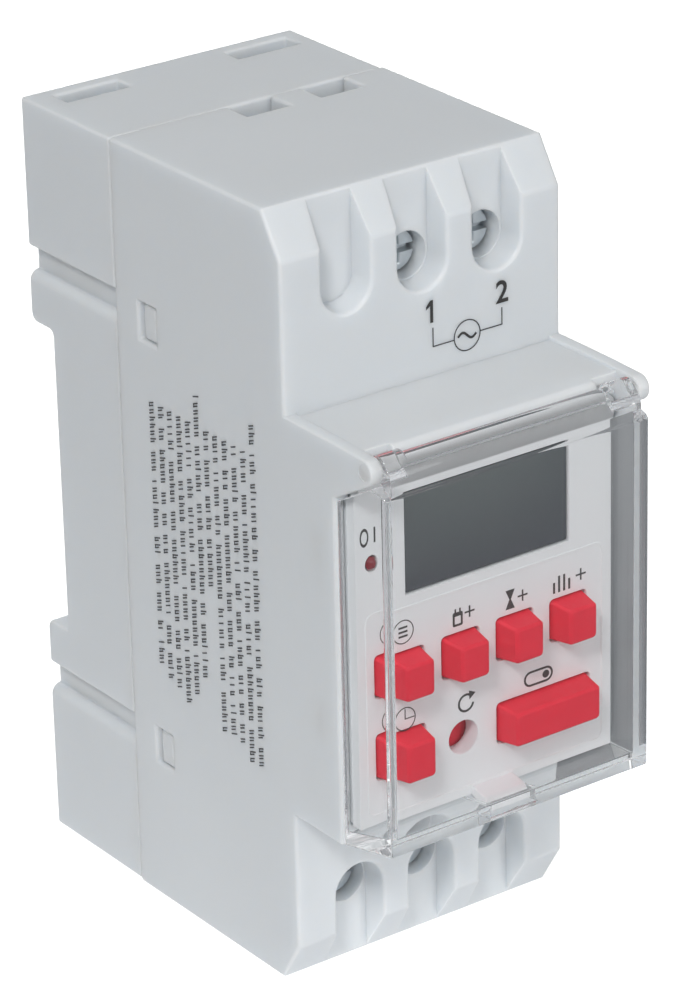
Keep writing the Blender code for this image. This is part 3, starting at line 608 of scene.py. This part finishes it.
def lamp_marks(shape):
    """A ring and a bar over the lamp, for off and on."""
    oval(shape, (-14.75, 11.95), 0.55, ICON_LINE, ON_PANEL, tall=1.6)
    bar(shape, (-13.2, 11.1), (-13.2, 12.8), 0.24, ON_PANEL)


def list_icon(shape, x, z):
    """Three lines in a circle, over the programme key."""
    oval(shape, (x, z), 1.3, HAIRLINE, ON_PANEL)
    for level in (-0.5, 0.0, 0.5):
        bar(shape, (x - 0.59, z + level), (x + 0.56, z + level), 0.22, ON_PANEL)


def clock_icon(shape, x, z):
    """A clock face with two hands, over the clock key."""
    oval(shape, (x, z), 1.3, HAIRLINE, ON_PANEL)
    bar(shape, (x, z + 1.14), (x, z), HAIRLINE, ON_PANEL)
    bar(shape, (x - HAIRLINE / 2.0, z), (x + 1.2, z), HAIRLINE, ON_PANEL)


def calendar_icon(shape, x, z):
    """A leaf with two rings at its top, over the day key."""
    ring(shape, rounded_rectangle((x - 0.65, z - 0.8), (x + 0.65, z + 0.8), 0.2),
         rounded_rectangle((x - 0.4, z - 0.55), (x + 0.4, z + 0.35), 0.1), ON_PANEL)
    for side in (-0.3, 0.3):
        bar(shape, (x + side, z + 0.75), (x + side, z + 1.2), ICON_LINE, ON_PANEL)


def hourglass_icon(shape, x, z):
    """A filled hourglass, over the hour key."""
    wide, waist, tall = 0.6, 0.1, 1.1
    outline = ((x - wide, z + tall), (x + wide, z + tall), (x + waist, z), (x + wide, z - tall),
               (x - wide, z - tall), (x - waist, z))
    stamp(shape, outline, ON_PANEL)


def bars_icon(shape, x, z):
    """Four upright strokes, over the minute key."""
    for i in range(4):
        top = z + (1.9 if i % 3 else 1.25)
        bar(shape, (x + 0.68 * i, z), (x + 0.68 * i, top), 0.27, ON_PANEL)


def panel_marks():
    """Icons for the lamp and the keys; they stand where a real timer has its key names."""
    shape = bmesh.new()
    lamp_marks(shape)
    list_icon(shape, -11.36, 0.39)
    clock_icon(shape, -11.3, -9.64)
    calendar_icon(shape, -4.3, -0.25)
    plus(shape, (-2.75, 0.2), 1.3, ICON_LINE, ON_PANEL)
    hourglass_icon(shape, 2.6, -0.05)
    plus(shape, (4.25, -0.05), 1.3, ICON_LINE, ON_PANEL)
    bars_icon(shape, 8.45, -1.15)
    plus(shape, (12.05, 0.1), 1.35, ICON_LINE, ON_PANEL)
    printed("panel_marks", shape, DARK_INK)


def key_icons():
    """A turned arrow over the recessed key and a switch icon over the wide key."""
    shape = bmesh.new()
    stroke(shape, arc((-3.35, -10.25), 0.95, 60.0, 350.0, 20), BOLD_LINE, ON_PANEL)
    arrow_head = ((-2.95, -8.95), (-2.1, -9.35), (-2.9, -10.0))
    stamp(shape, arrow_head, ON_PANEL)
    low, high, radius, line = (4.35, -11.05), (8.25, -9.25), 0.9, 0.25
    inside = rounded_rectangle((low[0] + line, low[1] + line), (high[0] - line, high[1] - line),
                               radius - line)
    ring(shape, rounded_rectangle(low, high, radius), inside, ON_PANEL)
    stamp(shape, arc((7.3, -10.15), 0.45, 0.0, 345.0, 23), ON_PANEL)
    printed("key_icons", shape, DARK_INK)


def label_film():
    """Thin film with rounded corners round the keys and a faintly raised border."""
    low, high, radius, border, thickness = (-14.9, -20.3), (15.1, 3.2), 1.1, 0.3, 0.07
    inside = rounded_rectangle((low[0] + border, low[1] + border), (high[0] - border, high[1] - border),
                               radius - border)
    shape = bmesh.new()
    ring(shape, rounded_rectangle(low, high, radius), inside, ON_PANEL, INK_LOW, thickness)
    item = printed("label_film", shape, FILM)
    rounding = item.modifiers.new("rounding", "BEVEL")
    rounding.width = 0.03 * MM
    rounding.segments = 2


FIGURE_HEIGHT = 2.55
FONT_SIZE = 1.37                    # size of the font for a figure of height 1
FIGURE_BOLDER = 0.05                # every stroke of a figure grows by this on each side
FIGURE_SAME_POINT = 0.0005          # corners closer than this are one corner


def terminal_number(number, x, z):
    """A terminal's number as a solid of its own, centred across and up."""
    name = "terminal_number_%d" % number
    data = bpy.data.curves.new(name, "FONT")
    data.body = str(number)
    data.size = FIGURE_HEIGHT * MM * FONT_SIZE
    data.align_x = "CENTER"
    data.extrude = (INK_HIGH - INK_LOW) / 2.0 * MM
    data.offset = FIGURE_BOLDER * MM
    data.resolution_u = 4
    draft = bpy.data.objects.new(name, data)
    bpy.context.collection.objects.link(draft)
    bpy.context.view_layer.update()
    mesh = bpy.data.meshes.new_from_object(draft.evaluated_get(bpy.context.evaluated_depsgraph_get()))
    bpy.data.objects.remove(draft, do_unlink=True)
    bpy.data.curves.remove(data)
    upright = Matrix.Rotation(math.radians(90.0), 4, "X")
    place = ON_FACE(x, z - FIGURE_HEIGHT / 2.0, (INK_HIGH + INK_LOW) / 2.0)
    mesh.transform(Matrix.Translation(place) @ upright)
    shape = bmesh.new()
    shape.from_mesh(mesh)
    bmesh.ops.remove_doubles(shape, verts=shape.verts, dist=FIGURE_SAME_POINT * MM)
    bpy.data.meshes.remove(mesh)
    printed(name, shape, DARK_INK)


def supply_symbol():
    """The number 1 and the symbol for mains between the first two terminals."""
    shape = bmesh.new()
    one = ((1.2, 28.1), (1.2, 30.6), (0.85, 30.6), (0.3, 30.0), (0.3, 29.65), (0.82, 30.0), (0.82, 28.1))
    stamp(shape, one, ON_FACE)
    middle, radius = (5.6, 25.55), 1.7
    oval(shape, middle, radius, SYMBOL_LINE, ON_FACE)
    for start, end in (((1.15, 27.5), (1.15, 25.4)), ((1.1, 25.4), (3.92, 25.4)),
                       ((10.2, 27.5), (10.2, 25.6)), ((7.28, 25.6), (10.25, 25.6))):
        bar(shape, start, end, SYMBOL_LINE, ON_FACE)
    half, height, steps = 1.2, 0.38, 24
    wave = [(middle[0] - half + 2.0 * half * i / steps,
             middle[1] + height * math.sin(2.0 * math.pi * i / steps)) for i in range(steps + 1)]
    stroke(shape, wave, 0.27, ON_FACE)
    printed("supply_symbol", shape, DARK_INK)


def tick(shape, rng, across, down):
    """One mark: a slanted stroke, or two short ones, with a short foot."""
    lean, gap, line = 0.16, 0.34, 0.16
    tall = rng.choice((0.42, 0.42, 0.42, 0.62))
    kind = rng.choice((0, 1, 1, 2))
    low, high = across - 0.42, across + tall
    bar(shape, (low, down - lean), (high, down + lean), line, ON_SIDE)
    if kind:
        bar(shape, (low, down - lean - gap), (across + 0.36, down + lean - gap), line, ON_SIDE)
    if kind == 2:
        bar(shape, (low + 0.1, down - lean), (low + 0.1, down - lean - gap), 0.13, ON_SIDE)


def row_end(rng, row):
    """How far down a row of ticks runs; the lower rows run on a little further each time."""
    if row == 6:
        return -2.5
    if row > 6:
        return -19.0 - 0.28 * row + rng.uniform(-1.5, 2.5)
    return -16.6 + rng.uniform(-2.0, 2.0)


def side_marks():
    """Rows of plain ticks in groups; they stand for a printed notice and say nothing."""
    rng = random.Random(12)
    shape = bmesh.new()
    first, pitch, rows = 19.2, 1.685, 12
    top, indent, letter, shortest = 16.15, 3.5, 0.83, 2.0
    for row in range(rows):
        across = first + pitch * row
        down = top + (indent if row in (5, 11) else 0.0)
        end = row_end(rng, row)
        while down > end + shortest:
            for _ in range(rng.choice((2, 3, 3, 4, 5, 6, 7, 8))):
                tick(shape, rng, across, down)
                down -= letter
                if down < end:
                    break
            down -= letter
    printed("side_marks", shape, GREY_INK)


panel_marks()
key_icons()
label_film()
terminal_number(2, 10.25, 29.35)
for terminal in (3, 4, 5):
    terminal_number(terminal, 0.2 + 9.2 * (terminal - 4), -27.0)
supply_symbol()
side_marks()

# ---------------------------------------------------------------- clip spring


def clip_spring():
    """Fine round coil in the clip's pocket, in place of the CAD spring."""
    low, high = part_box("din_clip_spring")
    wire, turns, per_turn, around = 0.00028, 6, 36, 12
    centre = (low + high) / 2.0
    radius = (high.x - low.x) / 2.0 - wire
    shape = bmesh.new()
    loops = []
    for i in range(turns * per_turn + 1):
        angle = 2.0 * math.pi * i / per_turn
        z = low.z + wire + (high.z - low.z - 2.0 * wire) * i / (turns * per_turn)
        outward = Vector((math.cos(angle), math.sin(angle), 0.0))
        middle = Vector((centre.x, centre.y, z)) + outward * radius
        loop = []
        for k in range(around):
            turn = 2.0 * math.pi * k / around
            loop.append(shape.verts.new(middle + (outward * math.cos(turn)
                                                  + Vector((0.0, 0.0, math.sin(turn)))) * wire))
        loops.append(loop)
    for first, last in zip(loops, loops[1:]):
        for k in range(around):
            j = (k + 1) % around
            shape.faces.new((first[k], first[j], last[j], last[k]))
    shape.faces.new(loops[0])
    shape.faces.new(loops[-1])
    item = printed("clip_spring", shape, LOOKS["zinc_steel"])
    item.data.shade_smooth()
    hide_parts("din_clip_spring")
    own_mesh(item)


clip_spring()

# ---------------------------------------------------------------- studio


def studio_camera():
    """The camera looks down from the front left with a long lens."""
    data = bpy.data.cameras.new("camera")
    data.lens = 166.95
    data.sensor_width = 36.0
    data.clip_start = 0.01
    item = bpy.data.objects.new("camera", data)
    bpy.context.collection.objects.link(item)
    azimuth, elevation, roll = math.radians(-35.76), math.radians(24.19), math.radians(-1.327)
    aim = Vector((5.80, -21.42, -1.15)) * MM
    distance = 510.73 * MM
    back = Vector((math.sin(azimuth) * math.cos(elevation),
                   -math.cos(azimuth) * math.cos(elevation), math.sin(elevation)))
    right = Vector((0.0, 0.0, 1.0)).cross(back).normalized()
    up = back.cross(right)
    turned = math.cos(roll) * right + math.sin(roll) * up
    up = back.cross(turned)
    item.matrix_world = Matrix.LocRotScale(aim + distance * back, None, None) @ Matrix(
        (turned, up, back)).transposed().to_4x4()
    bpy.context.scene.camera = item


def soft_box(name, place, target, width, height, power):
    """A rectangular lamp that faces its target; sizes in metres, power in watts."""
    data = bpy.data.lights.new(name, "AREA")
    data.shape = "RECTANGLE"
    data.size = width
    data.size_y = height
    data.energy = power
    item = bpy.data.objects.new(name, data)
    bpy.context.collection.objects.link(item)
    item.location = place
    item.rotation_euler = (Vector(target) - Vector(place)).to_track_quat("-Z", "Y").to_euler()


WORLD_LIGHT = 0.14                  # the tent's brightness as a lamp
WORLD_SEEN = 0.37                   # and as it is seen in mirrors and through clear plastic
LIGHT_BOUNCES = 24
STRAY_LIGHT = 1.0                   # limit that keeps stray sparks out of the display
FLOOR_HALF = 6.0                    # half the sheet's width
FLOOR_GAP = 0.0002                  # room between the timer and the sheet
FLOOR_LIGHT = 0.02                  # what the sheet adds to the light
FLOOR_POOL = 0.26                   # and the painted pool of light it glows with close to the timer
POOL_INSIDE, POOL_OUTSIDE = 0.08, 0.14          # distances over which the pool fades
FLOOR_SEEN = 0.9                    # how much the sheet glows for the camera
FLOOR_REFLECTED = (0.3, 0.31, 0.33)             # its colour in mirrors and clear plastic


def seen_through(tree, plain, seen):
    """One value for most rays and another for those that a mirror or clear plastic has turned."""
    paths = tree.nodes.new("ShaderNodeLightPath")
    turned = tree.nodes.new("ShaderNodeMath")
    turned.operation = "MAXIMUM"
    tree.links.new(paths.outputs["Is Glossy Ray"], turned.inputs[0])
    tree.links.new(paths.outputs["Is Transmission Ray"], turned.inputs[1])
    direct = tree.nodes.new("ShaderNodeMath")
    direct.operation = "MULTIPLY"
    tree.links.new(turned.outputs["Value"], direct.inputs[0])
    tree.links.new(spread(tree, paths.outputs["Diffuse Depth"], 1.0, 0.0, 0.0, 1.0), direct.inputs[1])
    return spread(tree, direct.outputs["Value"], plain, seen, 0.0, 1.0)


def studio():
    """A small lamp from the upper left front, three wide ones and a pale tent."""
    middle = (0.0, -0.028, 0.0)
    soft_box("key_light", (-0.48, -0.42, 0.57), middle, 0.14, 0.14, 3.2)
    soft_box("front_light", (0.15, -0.68, 0.28), middle, 0.5, 0.5, 1.45)
    soft_box("top_light", (-0.1, 0.1, 0.7), middle, 0.4, 0.4, 0.7)
    soft_box("back_light", (0.3, 0.55, 0.03), middle, 0.5, 0.12, 0.9)
    world = bpy.data.worlds.new("studio_world")
    bpy.context.scene.world = world
    world.use_nodes = True
    tree = world.node_tree
    background = tree.nodes["Background"]
    background.inputs["Color"].default_value = (0.93, 0.975, 1.0, 1.0)
    tree.links.new(seen_through(tree, WORLD_LIGHT, WORLD_SEEN), background.inputs["Strength"])
    bpy.context.scene.view_settings.view_transform = "Standard"
    cycles = bpy.context.scene.cycles
    cycles.max_bounces = LIGHT_BOUNCES
    cycles.transmission_bounces = LIGHT_BOUNCES
    cycles.glossy_bounces = LIGHT_BOUNCES
    cycles.sample_clamp_indirect = STRAY_LIGHT


def floor():
    """A wide pale sheet under the timer, with a painted pool of light close to it."""
    shape = bmesh.new()
    low = CAD_LOW.z - FLOOR_GAP
    shape.faces.new([shape.verts.new((a * FLOOR_HALF, b * FLOOR_HALF, low))
                     for a, b in ((-1, -1), (1, -1), (1, 1), (-1, 1))])
    mesh = bpy.data.meshes.new("studio_floor")
    shape.to_mesh(mesh)
    shape.free()
    item = bpy.data.objects.new("studio_floor", mesh)
    bpy.context.collection.objects.link(item)
    made, tree, shader, place = new_look("floor_paper")
    fibre = noise(tree, place, 0.0008, 4.0)
    pale = mix_colour(tree, fibre, (0.86, 0.86, 0.865), (0.9, 0.9, 0.9))
    turned = seen_through(tree, 0.0, 1.0)
    tree.links.new(mix_colour(tree, turned, pale, FLOOR_REFLECTED), shader.inputs["Base Color"])
    shader.inputs["Roughness"].default_value = 0.85
    shader.inputs["Emission Color"].default_value = (1.0, 1.0, 1.0, 1.0)
    away = tree.nodes.new("ShaderNodeVectorMath")
    away.operation = "LENGTH"
    tree.links.new(place, away.inputs[0])
    # painted pool of light: the sheet glows brighter close to the timer
    pool = spread(tree, away.outputs["Value"], FLOOR_POOL, FLOOR_LIGHT, POOL_INSIDE, POOL_OUTSIDE)
    paths = tree.nodes.new("ShaderNodeLightPath")
    lit = mix_value(tree, turned, pool, FLOOR_LIGHT)
    tree.links.new(mix_value(tree, paths.outputs["Is Camera Ray"], lit, FLOOR_SEEN),
                   shader.inputs["Emission Strength"])
    mesh.materials.append(made)


studio_camera()
studio()
floor()
